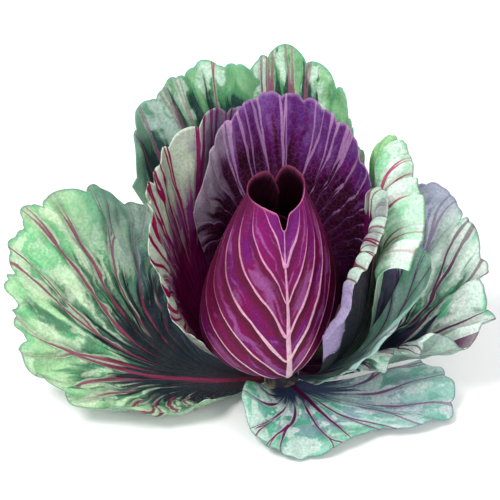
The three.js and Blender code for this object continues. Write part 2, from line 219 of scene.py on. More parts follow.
def through(values, u):
    """A smooth curve through evenly spaced values, first at u = -1 and last at u = 1 (Catmull-Rom)."""
    v = np.asarray(values, float)
    if len(v) == 1:
        return np.full_like(u, v[0])
    last = len(v) - 1
    v = np.concatenate([[2 * v[0] - v[1]], v, [2 * v[-1] - v[-2]]])
    place = (np.clip(u, -1, 1) + 1) / 2 * last
    i = np.minimum(place.astype(int), last - 1)
    t = place - i
    a, b, c, d = v[i], v[i + 1], v[i + 2], v[i + 3]
    return 0.5 * (2 * b + (c - a) * t + (2 * a - 5 * b + 4 * c - d) * t**2 + (3 * b - a - 3 * c + d) * t**3)


def swell(points, size, seed):
    """Smooth random values of about -1 to 1 in space: a sum of plane waves about size apart."""
    rng = np.random.default_rng(seed)
    waves = 18
    turn = rng.normal(size=(waves, 3))
    turn /= np.linalg.norm(turn, axis=1, keepdims=True)
    turn *= 2 * np.pi / size * rng.uniform(0.7, 1.4, (waves, 1))
    shift = rng.uniform(0, 2 * np.pi, waves)
    return np.sin(points @ turn.T + shift).sum(-1) / np.sqrt(waves)


def length_share(leaf, u):
    """How much of its full length the blade has: broad lobes, small scallops and one dip shorten it."""
    phase = leaf.get("phase", 0)
    notch = leaf.get("notch", 0)
    lobes = leaf.get("lobes", 1)
    broad = np.abs(np.sin(np.pi / 2 * lobes * (u + LOBE_DRIFT * np.sin(5 * u + phase) + 1)))
    small = np.abs(np.sin(np.pi / 2 * SCALLOPS * lobes * (u + 0.04 * np.sin(9 * u + 2 * phase) + 1)))
    uneven = 0.5 + 0.5 * np.sin(6 * u + 4 * phase)
    share = 1 - notch * (1 - broad**LOBE_ROUNDNESS) - SCALLOP_SHARE * notch * uneven * (1 - small**0.7)
    beyond = np.clip((np.abs(u) - CORNER_START) / (1 - CORNER_START), 0, 1)
    share = share * (1 - leaf.get("corner", CORNER) * beyond**2)
    for kind in ("dip", "slit"):
        if kind in leaf:
            cut = leaf[kind]
            share = share * (1 - cut["depth"] * np.exp(-(((u - cut["at"]) / cut["width"]) ** 2)))
    return share


def profile(leaf, u, v):
    """Radius and height of the blade: a cubic curve from the foot to the rim station at u, which
    leaves the foot at the slope rise and meets the rim at the slope tip, then any outward roll."""
    stations = np.array(leaf["rim"], float)
    r3, z3 = through(stations[:, 1], u), through(stations[:, 2], u)
    z0 = leaf["foot"]
    skin = STALK_FOOT_RADIUS + (STALK_TOP_RADIUS - STALK_FOOT_RADIUS) * z0 / STALK_HEIGHT
    r0 = skin + FOOT_GAP + leaf.get("wrap", 0) * (u + 1) / 2
    tip = np.radians(through(leaf["tip"], u))
    rise = np.radians(through(leaf["rise"], u))
    chord = np.hypot(r3 - r0, z3 - z0)
    out = through(leaf["reach"], u) * chord
    r1, z1 = r0 + out * np.cos(rise), z0 + out * np.sin(rise)
    r2, z2 = r3 - leaf["pull"] * chord * np.cos(tip), z3 - leaf["pull"] * chord * np.sin(tip)
    roll = leaf.get("roll")
    start = roll["start"] if roll else 1
    s = np.minimum(v / start, 1) * length_share(leaf, u)
    k0, k1, k2, k3 = (1 - s) ** 3, 3 * s * (1 - s) ** 2, 3 * s * s * (1 - s), s**3
    r = k0 * r0 + k1 * r1 + k2 * r2 + k3 * r3
    z = k0 * z0 + k1 * z1 + k2 * z2 + k3 * z3
    if roll:
        turned = math.radians(roll["angle"]) * np.clip((v - start) / (1 - start), 0, 1)
        curl = through(roll["radius"], u)
        r = r + curl * (np.sin(tip) - np.sin(tip - turned))
        z = z + curl * (np.cos(tip - turned) - np.cos(tip))
    return r, z


def blade_surface(leaf, u, v):
    """The blade's upper face: the profile swung to each azimuth, gathered towards the foot, with
    broad waves and small frills that grow towards the margin, and bent to lie above the ground."""
    phase = leaf.get("phase", 0)
    r, z = profile(leaf, u, v)
    broad = np.sin(np.pi * leaf.get("waves", 0) * (u + 1) + 3 * phase)
    lift = leaf.get("ruffle", 0) * ease(RUFFLE_START, 1, v) * broad
    frills = leaf.get("frills", 0)
    small = np.sin(np.pi * frills * (u + 0.06 * np.sin(7 * u + phase) + 1) + 5 * phase + 2 * v)
    uneven = 0.6 + 0.4 * np.sin(4.3 * u + 2 * phase)
    lift = lift + leaf.get("frill", 0) * ease(FRILL_START, 1, v) * small * uneven
    dr, dz = np.gradient(r, axis=1), np.gradient(z, axis=1)
    run = np.hypot(dr, dz) + 1e-9
    r, z = r - lift * dz / run, z + lift * dr / run
    azimuths = np.array(leaf["rim"], float)[:, 0]
    middle = through(azimuths, np.zeros(1))[0]
    narrowed = leaf["gather"] + (1 - leaf["gather"]) * v ** leaf.get("fan", FAN)
    azimuth = np.radians(middle + (through(azimuths, u) - middle) * narrowed)
    x = r * np.cos(azimuth) + leaf.get("lean", 0) * np.maximum(z - leaf["foot"], 0)
    y = r * np.sin(azimuth)
    above = (z - FLOOR_LIFT) / FLOOR_SOFTNESS
    z = FLOOR_LIFT + FLOOR_SOFTNESS * np.logaddexp(0, above)
    return np.stack([x, y, z], -1)


def directions(points):
    """Steps across and along the grid, and the unit face normal into the head."""
    across, along = np.gradient(points, axis=0), np.gradient(points, axis=1)
    normal = np.cross(along, across)
    normal /= np.linalg.norm(normal, axis=-1, keepdims=True) + 1e-12
    return across, along, normal


def vein_phase(leaf, u, v):
    """A number that rises by 1 from one main vein to the next. With "spacing" it counts the side veins
    that sweep out from a midrib, and otherwise the veins that fan from the foot."""
    turn = leaf.get("phase", 0)

    def bending(c):
        slow = 0.06 * np.sin(4.1 * c + 2.2 * v + turn)
        quick = 0.035 * np.sin(9.3 * c - 5.1 * v + 2 * turn)
        return c + (slow + quick) * v

    if "spacing" in leaf:
        side = np.sqrt(bending(u) ** 2 + 0.0004)
        stagger = 0.02 * np.sign(u) * ease(0, 0.1, np.abs(u))
        return (v - leaf["sweep"] * side ** leaf["bend"] + stagger) / leaf["spacing"]
    bundle, start, about = leaf.get("bundle", (0.6, -0.1, 0.0))
    drawn_in = bundle + (1 - bundle) * ease(start, 1.0, v)
    return leaf["veins"] * (bending((u - about) / drawn_in) + about + 1) / 2


def vein_pitch(points, phase):
    """Millimetres on the surface for 1 of phase: one over the phase's slope along the surface."""
    across, along, _ = directions(points)
    pu, pv = np.gradient(phase, axis=0), np.gradient(phase, axis=1)
    e, f, g = (across**2).sum(-1), (across * along).sum(-1), (along**2).sum(-1)
    steepness = np.sqrt((g * pu**2 - 2 * f * pu * pv + e * pv**2) / (e * g - f * f + 1e-9))
    return np.clip(1 / (steepness + 1e-9), *PITCH_LIMITS)


def vein_forks(leaf, u, v):
    """How far a main vein's two forkings have opened, as shares of phase. Side veins don't fork."""
    if "spacing" in leaf:
        return np.zeros_like(u), np.zeros_like(u)
    turn = leaf.get("phase", 0)
    opening = 0.5 + 0.16 * np.sin(7.3 * u + 2 * turn)
    forked = np.clip(0.35 + np.sin(8.2 * u + 3 * turn), 0, 1)
    first = 0.26 * forked * ease(opening, 1.1, v)
    second = 0.1 * ease(opening + 0.28, 1.12, v) * (0.5 + 0.5 * np.sin(11 * u + turn))
    return first, second


def vein_width(leaf, u, v, pitch):
    """A main vein's width: it narrows from foot to tip, and fades out where veins crowd together."""
    foot_w, tip_w = leaf.get("vein_foot", 2.0), leaf.get("vein_tip", 1.0)
    width = tip_w + (foot_w - tip_w) * (1 - v) ** 1.3
    if "spacing" in leaf:
        width = tip_w + (foot_w - tip_w) * np.exp(-2.8 * np.abs(u)) * ease(0, 0.15, 1 - v)
    return np.minimum(width, VEIN_CROWD * pitch) * ease(*leaf.get("crowding", (5, 14)), pitch) + 0.02


def vein_fields(leaf, points, u, v):
    """Smooth numbers the veins are drawn from: phase, pitch, width and the two forkings, as their own
    functions say, then millimetres from the midrib and the midrib's width."""
    phase = vein_phase(leaf, u, v)
    pitch = vein_pitch(points, phase)
    first, second = vein_forks(leaf, u, v)
    across, _, _ = directions(points)
    middle = u / (u[1, 0] - u[0, 0]) * np.linalg.norm(across, axis=-1)
    midrib = leaf.get("midrib", leaf.get("vein_foot", 2.0) * 1.25) * (1 - v) ** 0.8 + 0.6
    return dict(phase=phase, pitch=pitch, width=vein_width(leaf, u, v, pitch),
                first=first, second=second, middle=middle, midrib=midrib)


def vein_distance(f):
    """Millimetres to the nearest vein and to the midrib, and the first as a share of the gap between
    veins."""
    cell = np.abs(f["phase"] % 1 - 0.5)
    gap = np.abs(np.abs(cell - f["first"]) - f["second"])
    return gap * f["pitch"], np.abs(f["middle"]), gap


def leaf_skins(leaf, points, f, u, v, seed):
    """Upper face, underside and quilting: the blade surface with veins in relief and the blade quilted
    between them, then the underside at the blade's thickness with keeled veins."""
    _, _, normal = directions(points)
    far, mid, gap = vein_distance(f)
    ridge = np.exp(-((far / (0.6 * f["width"])) ** 2))
    rib = np.exp(-((mid / (0.6 * f["midrib"])) ** 2))
    blister = 0.55 + 0.45 * swell(points, BLISTER_SIZE, seed)
    between = np.sin(np.pi * np.clip(gap * 2.6, 0, 0.5)) ** 2 * (1 - rib)
    to_edge = ease(0, 0.06, 1 - np.abs(u)) * ease(0, 0.05, 1 - v)
    quilt = leaf["quilt"] * between * blister * ease(0.1, 0.45, v) * (0.3 + 0.7 * to_edge)
    sway = 0.5 * leaf["quilt"] * swell(points, SWAY_SIZE, seed + 1) * ease(0.2, 0.7, v)
    fade = 1 - 0.75 * v
    top = points + normal * (quilt + sway + VEIN_RIDGE * fade * np.maximum(ridge, rib))[..., None]
    top[..., 2] = np.maximum(top[..., 2], FLOOR_LIFT)
    blade = EDGE + (BLADE - EDGE) * to_edge
    keel = RIB * rib * (1 - v) ** 1.5 + VEIN_KEEL * ridge * fade * to_edge
    foot_room = ease(0, 0.12, v)
    under = top - normal * (blade + keel * (0.25 + 0.75 * foot_room))[..., None]
    under[..., 2] = np.maximum(under[..., 2], FLOOR_GAP)
    return top, under, quilt, gap


def leaf_faces(nu, nv):
    """Four corners a face: the upper face, the underside, and the strips that close the four edges."""
    count = (nu + 1) * (nv + 1)
    at = np.arange(count).reshape(nu + 1, nv + 1)
    low = at + count

    def strip(a, b, c, d):
        return np.stack([a.ravel(), b.ravel(), c.ravel(), d.ravel()], 1)

    return np.concatenate([
        strip(at[:-1, :-1], at[:-1, 1:], at[1:, 1:], at[1:, :-1]),
        strip(low[:-1, :-1], low[1:, :-1], low[1:, 1:], low[:-1, 1:]),
        strip(at[:-1, -1], low[:-1, -1], low[1:, -1], at[1:, -1]),
        strip(at[1:, 0], low[1:, 0], low[:-1, 0], at[:-1, 0]),
        strip(at[0, 1:], at[0, :-1], low[0, :-1], low[0, 1:]),
        strip(at[-1, :-1], at[-1, 1:], low[-1, 1:], low[-1, :-1]),
    ])


def leaf_map(u, v):
    """Flat map of both faces: the upper face fills the left half and the underside the right."""
    left = (u.ravel() + 1) / 4.08 + 0.005
    height = np.concatenate([v.ravel(), v.ravel()]) * 0.98 + 0.01
    return np.stack([np.concatenate([left, left + 0.5]), height], 1)


def leaf_mesh(name, leaf):
    """A leaf as one closed body on a grid of u from side to side and v from foot to rim, carrying the
    numbers that its material draws the veins from."""
    nu, nv = leaf["grid"]
    u = np.linspace(-1, 1, nu + 1)[:, None] + np.zeros(nv + 1)
    v = np.linspace(0, 1, nv + 1)[None, :] + np.zeros((nu + 1, 1))
    points = blade_surface(leaf, u, v)
    f = vein_fields(leaf, points, u, v)
    seed = 7 * len(name) + ord(name[0])
    top, under, quilt, gap = leaf_skins(leaf, points, f, u, v, seed)
    quads = leaf_faces(nu, nv)
    me = mesh_of(name, np.concatenate([top.reshape(-1, 3), under.reshape(-1, 3)]) * MM, quads)

    def twice(*columns):
        return np.stack([np.concatenate([c.ravel(), c.ravel()]) for c in columns], 1)

    place = twice(u, v, v)
    place[:, 2] = np.concatenate([np.zeros(u.size), np.ones(u.size)])
    put_vectors(me, "blade", place)
    put_vectors(me, "veins", twice(f["phase"], f["pitch"], f["width"]))
    put_vectors(me, "forks", twice(f["first"], f["second"], f["middle"]))
    put_vectors(me, "ribs", twice(f["midrib"], quilt, gap))
    put_map(me, "Blade", leaf_map(u, v), quads)
    return me


def mesh_of(name, points, quads):
    """A smooth-shaded mesh from arrays of points in metres and of four corners a face."""
    me = bpy.data.meshes.new(name)
    me.vertices.add(len(points))
    me.vertices.foreach_set("co", points.astype(np.float32).ravel())
    me.loops.add(quads.size)
    me.loops.foreach_set("vertex_index", quads.astype(np.int32).ravel())
    me.polygons.add(len(quads))
    me.polygons.foreach_set("loop_start", np.arange(0, quads.size, 4, dtype=np.int32))
    me.update(calc_edges=True)
    me.polygons.foreach_set("use_smooth", np.ones(len(quads), bool))
    me.validate()
    return me


def put_vectors(me, name, values):
    """A three-number attribute on each point."""
    layer = me.attributes.new(name, "FLOAT_VECTOR", "POINT")
    layer.data.foreach_set("vector", values.astype(np.float32).ravel())


def put_map(me, name, values, quads):
    """A UV map from a value at each point."""
    layer = me.uv_layers.new(name=name)
    layer.uv.foreach_set("vector", values[quads.ravel()].astype(np.float32).ravel())


# ---- node helpers ----
def tint(r, g, b):
    """A colour given as 0-255 display values, as the linear values a shader takes."""
    c = np.array([r, g, b]) / 255
    linear = np.where(c <= 0.04045, c / 12.92, ((c + 0.055) / 1.055) ** 2.4)
    return (*[float(x) for x in linear], 1.0)


class Tree:
    """Builds a node tree: methods return the output socket of the node they add."""

    def __init__(self, tree):
        self.tree = tree

    def node(self, kind, inputs=None, **settings):
        n = self.tree.nodes.new(kind)
        for k, value in settings.items():
            setattr(n, k, value)
        for k, value in (inputs or {}).items():
            self.feed(n.inputs[k], value)
        return n

    def feed(self, socket, value):
        if isinstance(value, bpy.types.NodeSocket):
            self.tree.links.new(value, socket)
        else:
            socket.default_value = value

    def math(self, operation, a, b=0.0, c=0.0):
        return self.node("ShaderNodeMath", {0: a, 1: b, 2: c}, operation=operation).outputs[0]

    def times(self, first, *others):
        for other in others:
            first = self.math("MULTIPLY", first, other)
        return first

    def plus(self, a, b):
        return self.math("ADD", a, b)

    def less(self, a, b):
        return self.math("SUBTRACT", a, b)

    def around(self, value, level, spread):
        """0 below level - spread and 1 above level + spread, eased between."""
        return self.between(value, self.less(level, spread), self.plus(level, spread))

    def between(self, value, low, high, to_low=0.0, to_high=1.0):
        """value from low..high to to_low..to_high, eased and held beyond the ends."""
        n = self.node("ShaderNodeMapRange", {
            "Value": value, "From Min": low, "From Max": high, "To Min": to_low, "To Max": to_high,
        }, interpolation_type="SMOOTHSTEP")
        return n.outputs[0]

    def mix(self, share, a, b, blend="MIX"):
        n = self.node("ShaderNodeMix", data_type="RGBA", blend_type=blend)
        self.feed(n.inputs[0], share)
        self.feed(n.inputs[6], a)
        self.feed(n.inputs[7], b)
        return n.outputs[2]

    def attribute(self, name):
        n = self.node("ShaderNodeAttribute", attribute_name=name, attribute_type="GEOMETRY")
        parts = self.node("ShaderNodeSeparateXYZ", {0: n.outputs["Vector"]})
        return parts.outputs[0], parts.outputs[1], parts.outputs[2]

    def noise(self, scale, detail=2.0, distortion=0.0, shift=None):
        where = self.node("ShaderNodeTexCoord").outputs["Object"]
        if shift is not None:
            where = self.node("ShaderNodeVectorMath", {0: where, 1: shift}, operation="ADD").outputs[0]
        n = self.node("ShaderNodeTexNoise", {"Vector": where, "Scale": scale, "Detail": detail,
                                             "Distortion": distortion})
        return n.outputs["Fac"]


def new_group(name, inputs, outputs):
    """A node group with named sockets. inputs and outputs: {name: (kind, default)}."""
    tree = bpy.data.node_groups.new(name, "ShaderNodeTree")
    for label, (kind, value) in inputs.items():
        socket = tree.interface.new_socket(label, in_out="INPUT", socket_type=kind)
        if value is not None:
            socket.default_value = value
    for label, kind in outputs.items():
        tree.interface.new_socket(label, in_out="OUTPUT", socket_type=kind)
    t = Tree(tree)
    given = t.node("NodeGroupInput").outputs
    result = t.node("NodeGroupOutput").inputs
    return t, given, result


FLOAT, COLOUR, VECTOR = "NodeSocketFloat", "NodeSocketColor", "NodeSocketVector"


def vein_group():
    """Vein lines: crisp lines with soft edges, a wide band of painted shade and a narrow painted highlight
    beside them, and the midrib. Each main vein and its forks have their own width, and fade at their own
    distance."""
    t, given, result = new_group(
        "Vein lines",
        {"Width": (FLOAT, 1.0), "Softness": (FLOAT, 0.3), "Painted shade width": (FLOAT, 3.0),
         "Painted highlight width": (FLOAT, 1.6), "Fade": (FLOAT, 0.0), "One side": (FLOAT, 0.0), "Seed": (VECTOR, None)},
        {"Line": FLOAT, "Painted shade": FLOAT, "Halo": FLOAT},
    )
    phase, pitch, width = t.attribute("veins")
    first, second, middle = t.attribute("forks")
    midrib, _, _ = t.attribute("ribs")
    _, v, _ = t.attribute("blade")
    wander = t.less(t.noise(30, 2, shift=given["Seed"]), 0.5)
    thickness = t.noise(30, 2, shift=given["Seed"])
    strayed = t.math("DIVIDE", t.times(wander, 4.0), t.math("MAXIMUM", pitch, 14.0))
    wandered = t.plus(phase, strayed)
    own = t.node("ShaderNodeTexWhiteNoise", {"W": t.math("FLOOR", wandered)}, noise_dimensions="1D")
    own_width, own_reach, _ = t.node("ShaderNodeSeparateXYZ", {0: own.outputs["Color"]}).outputs[:]
    across = t.less(t.math("FRACT", wandered), 0.5)
    cell = t.math("ABSOLUTE", across)
    once = t.math("ABSOLUTE", t.less(cell, first))
    twice = t.math("ABSOLUTE", t.less(once, second))
    far = t.times(twice, pitch)
    along_it = t.between(thickness, 0.3, 0.7, 0.6, 1.25)
    uneven = t.times(along_it, t.between(own_width, 0, 1, 0.65, 1.15))
    half = t.times(t.times(width, given["Width"]), t.times(uneven, 0.5))
    soft = given["Softness"]
    back = t.times(soft, -1)
    line = t.between(t.less(far, half), soft, back)
    ends = t.math("MULTIPLY_ADD", own_reach, 0.5, 0.72)
    fade = t.times(t.between(v, t.less(ends, 0.16), ends), given["Fade"])
    line = t.times(line, t.less(1.0, fade))
    mid_far = t.math("ABSOLUTE", t.plus(middle, t.times(wander, 4.0)))
    mid_half = t.times(t.times(midrib, given["Width"]), 0.5)
    mid = t.between(t.less(mid_far, mid_half), soft, back)
    nearest = t.math("MINIMUM", t.less(far, half), t.less(mid_far, mid_half))
    # Painted shade: a rough-edged dark band beside the veins and midrib, heavier on one side where One side
    # is set.
    rough = t.times(t.less(t.noise(120, 3, shift=given["Seed"]), 0.5), 4.0)
    stain = t.between(t.plus(nearest, rough), given["Painted shade width"], 0.0)
    which_side = t.between(across, -0.04, 0.04)
    stain = t.times(stain, t.math("MULTIPLY_ADD", which_side, given["One side"], 1.0))
    # Painted highlight: a pale band of uneven width beside the veins and midrib.
    painted_highlight_edge = t.times(given["Painted highlight width"], t.between(thickness, 0.35, 0.65, 0.0, 1.7))
    halo = t.between(t.less(nearest, painted_highlight_edge), 0.25, -0.25)
    t.feed(result["Line"], t.math("MAXIMUM", line, mid))
    t.feed(result["Painted shade"], stain)
    t.feed(result["Halo"], halo)
    return t.tree


def blotch_group():
    """Blotches: washes with soft but clear edges drawn out along the veins, a second set, streaks
    that run with the veins, and a fine grain."""
    t, given, result = new_group(
        "Blotches",
        {"Scale": (FLOAT, 22.0), "Cover": (FLOAT, 0.5), "Light cover": (FLOAT, 0.4), "Edge": (FLOAT, 0.05),
         "Seed": (VECTOR, None)},
        {"Mask": FLOAT, "Light": FLOAT, "Streak": FLOAT, "Grain": FLOAT},
    )
    phase, _, _ = t.attribute("veins")
    _, v, side = t.attribute("blade")
    where = t.node("ShaderNodeTexCoord").outputs["Object"]
    moved = t.node("ShaderNodeVectorMath", {0: where, 1: given["Seed"]}, operation="ADD").outputs[0]
    grain = t.node("ShaderNodeTexNoise", {"Vector": moved, "Scale": 420.0, "Detail": 4.0}).outputs["Fac"]
    rough = t.times(t.less(grain, 0.5), 0.07)

    def laid(across, along, detail, wobble):
        warp = t.node("ShaderNodeTexNoise", {"Vector": moved, "Scale": 40.0, "Detail": 2.0}).outputs["Fac"]
        bend = t.times(t.less(warp, 0.5), wobble)
        x = t.math("MULTIPLY_ADD", phase, across, bend)
        y = t.math("MULTIPLY_ADD", v, along, bend)
        place = t.node("ShaderNodeCombineXYZ", {0: x, 1: y, 2: side}).outputs[0]
        shifted = t.node("ShaderNodeVectorMath", {0: place, 1: given["Seed"]}, operation="ADD").outputs[0]
        return t.node("ShaderNodeTexNoise", {"Vector": shifted, "Scale": 1.0, "Detail": detail,
                                             "Distortion": 0.3}).outputs["Fac"]

    def cut(value, cover):
        level = t.less(0.72, t.times(cover, 0.44))
        return t.around(value, level, given["Edge"])

    wash = t.node("ShaderNodeTexNoise", {"Vector": moved, "Scale": given["Scale"], "Detail": 3.0,
                                         "Distortion": 0.6}).outputs["Fac"]
    drawn = laid(1.1, 4.5, 2.0, 1.0)
    both = t.math("MULTIPLY_ADD", drawn, 0.6, t.times(wash, 0.4))
    # Pale patches drawn along the veins; on the green leaves they stand in for highlights, as painted
    # highlights.
    light = laid(1.7, 6.0, 2.0, 1.4)
    t.feed(result["Mask"], cut(t.plus(both, rough), given["Cover"]))
    t.feed(result["Light"], cut(t.plus(light, rough), given["Light cover"]))
    t.feed(result["Streak"], laid(3.2, 1.6, 3.0, 0.5))
    t.feed(result["Grain"], grain)
    return t.tree


def net_group():
    """Leaf net: the finest veins, a closed mesh of small cells."""
    t, given, result = new_group("Leaf net", {"Scale": (FLOAT, 170.0)}, {"Net": FLOAT})
    where = t.node("ShaderNodeTexCoord").outputs["Object"]
    wobble = t.node("ShaderNodeTexNoise", {"Vector": where, "Scale": 90.0, "Detail": 2.0}).outputs["Color"]
    small = t.node("ShaderNodeVectorMath", {0: wobble, "Scale": 0.006}, operation="SCALE").outputs[0]
    moved = t.node("ShaderNodeVectorMath", {0: where, 1: small}, operation="ADD").outputs[0]
    cells = t.node("ShaderNodeTexVoronoi", {"Vector": moved, "Scale": given["Scale"]},
                   feature="DISTANCE_TO_EDGE")
    t.feed(result["Net"], t.between(cells.outputs["Distance"], 0.09, 0.0))
    return t.tree


COLOUR_SOCKETS = ["Foot", "Middle", "Margin", "Wash", "Light", "Deep", "Halo", "Flank", "Edge",
                  "Vein foot", "Vein tip", "Under", "Inner"]
NUMBER_SOCKETS = {
    "Foot end": 0.35, "Margin start": 0.75, "Spread": 0.12, "Streaking": 0.5, "Wash strength": 0.5,
    "Light strength": 0.5, "Deep strength": 0.5, "Halo strength": 0.4, "Flank strength": 0.0,
    "Flank from": 0.0, "Flank foot": 0.4, "Flank start": 0.5, "Flank end": 0.9, "Edge width": 0.015,
    "Under strength": 0.0, "Inner strength": 0.0, "Vein strength": 1.0, "Under veins": 0.4,
    "Richness": 1.12,
}
MASK_SOCKETS = {
    "Net strength": 0.12, "Line mask": 0.0, "Painted shade mask": 0.0, "Painted highlight mask": 0.0, "Wash mask": 0.0,
    "Light mask": 0.0, "Streak": 0.5, "Grain": 0.5, "Net": 0.0,
}


def colour_group():
    """Blade colour: foot, middle and margin colours laid along the blade with streaked borders, the dark
    foot colours partly painted shade near the head; a flank colour towards one side, painted shade at the
    heart's sides; washes of a second and a light colour, the pale washes painted highlights on the green
    leaves; painted shade and a painted highlight beside the veins, a thin edge colour, then the veins.
    Either face can be tinted over: the right cup's dark underside and the heart's near-black inside are
    painted shade."""
    inputs = {label: (COLOUR, (0.5, 0.5, 0.5, 1)) for label in COLOUR_SOCKETS}
    inputs |= {label: (FLOAT, value) for label, value in (NUMBER_SOCKETS | MASK_SOCKETS).items()}
    inputs["Seed"] = (VECTOR, None)
    t, given, result = new_group("Blade colour", inputs, {"Color": COLOUR})

    u, v, side = t.attribute("blade")
    drift = t.times(t.less(t.noise(16, 3, 0.5, given["Seed"]), 0.5), 0.3)
    streaks = t.times(t.less(given["Streak"], 0.5), given["Streaking"])
    along = t.plus(v, t.plus(drift, streaks))
    low = t.around(along, given["Foot end"], given["Spread"])
    high = t.around(along, given["Margin start"], given["Spread"])
    # Foot colour: partly the leaf's own darker base, partly painted shade near the head.
    colour = t.mix(low, given["Foot"], given["Middle"])
    colour = t.mix(high, colour, given["Margin"])
    colour = t.mix(t.times(given["Wash mask"], given["Wash strength"], low), colour, given["Wash"])
    # Light wash: pale patches; on the green leaves they are painted highlights.
    colour = t.mix(t.times(given["Light mask"], given["Light strength"], low), colour, given["Light"])
    # Painted shade beside the veins.
    colour = t.mix(t.times(given["Painted shade mask"], given["Deep strength"], t.between(v, 1.05, 0.6, 0.25, 1.0)),
                   colour, given["Deep"])
    # Painted highlight beside the veins.
    colour = t.mix(t.times(given["Painted highlight mask"], given["Halo strength"], low), colour, given["Halo"])
    # Underside tint: the underside's own colour on most leaves, dark painted shade on the right cup.
    colour = t.mix(t.times(side, given["Under strength"]), colour, given["Under"])
    rim = t.between(v, t.less(1.0, given["Edge width"]), 1.0)
    colour = t.mix(rim, colour, given["Edge"])
    vein = t.mix(t.between(along, 0.25, 0.85), given["Vein foot"], given["Vein tip"])
    colour = t.mix(t.times(given["Net"], given["Net strength"]), colour, vein)
    shown = t.less(1.0, t.times(side, t.less(1.0, given["Under veins"])))
    colour = t.mix(t.times(given["Line mask"], given["Vein strength"], shown), colour, vein)
    # Flank colour towards one side: its own colour on most leaves, painted shade at the heart's sides.
    away = t.math("ABSOLUTE", t.less(u, given["Flank from"]))
    off = t.plus(away, t.times(drift, 1.5))
    flank = t.between(off, given["Flank start"], given["Flank end"])
    reached = t.math("MAXIMUM", low, given["Flank foot"])
    colour = t.mix(t.times(flank, reached, given["Flank strength"]), colour, given["Flank"])
    # Inner: a near-black tint of the upper face inside the rim, painted shade inside the heart.
    lip = t.less(1.0, rim)
    upper = t.less(1.0, side)
    colour = t.mix(t.times(upper, given["Inner strength"], lip), colour, given["Inner"])
    shade = t.between(given["Grain"], 0.25, 0.75, 0.74, 1.04)
    rich = t.node("ShaderNodeHueSaturation",
                  {"Saturation": given["Richness"], "Value": shade, "Color": colour})
    t.feed(result["Color"], rich.outputs[0])
    return t.tree


def finish_group():
    """Blade finish: a waxy bloom that dulls the blade in patches, and the relief of veins and net."""
    t, given, result = new_group(
        "Blade finish",
        {"Line mask": (FLOAT, 0.0), "Net": (FLOAT, 0.0), "Grain": (FLOAT, 0.5), "Wash mask": (FLOAT, 0.0),
         "Smooth": (FLOAT, 0.5), "Dull": (FLOAT, 0.72)},
        {"Roughness": FLOAT, "Height": FLOAT},
    )
    dull = t.math("MULTIPLY_ADD", given["Wash mask"], 0.6, t.times(given["Grain"], 0.4))
    spread = t.less(given["Dull"], given["Smooth"])
    t.feed(result["Roughness"], t.math("MULTIPLY_ADD", dull, spread, given["Smooth"]))
    height = t.times(given["Line mask"], 0.7)
    height = t.plus(height, t.times(given["Net"], -0.22))
    t.feed(result["Height"], t.plus(height, t.times(given["Grain"], 0.12)))
    return t.tree


GROUPS = dict(
    vein=vein_group(), blotch=blotch_group(), net=net_group(), colour=colour_group(),
    finish=finish_group(),
)
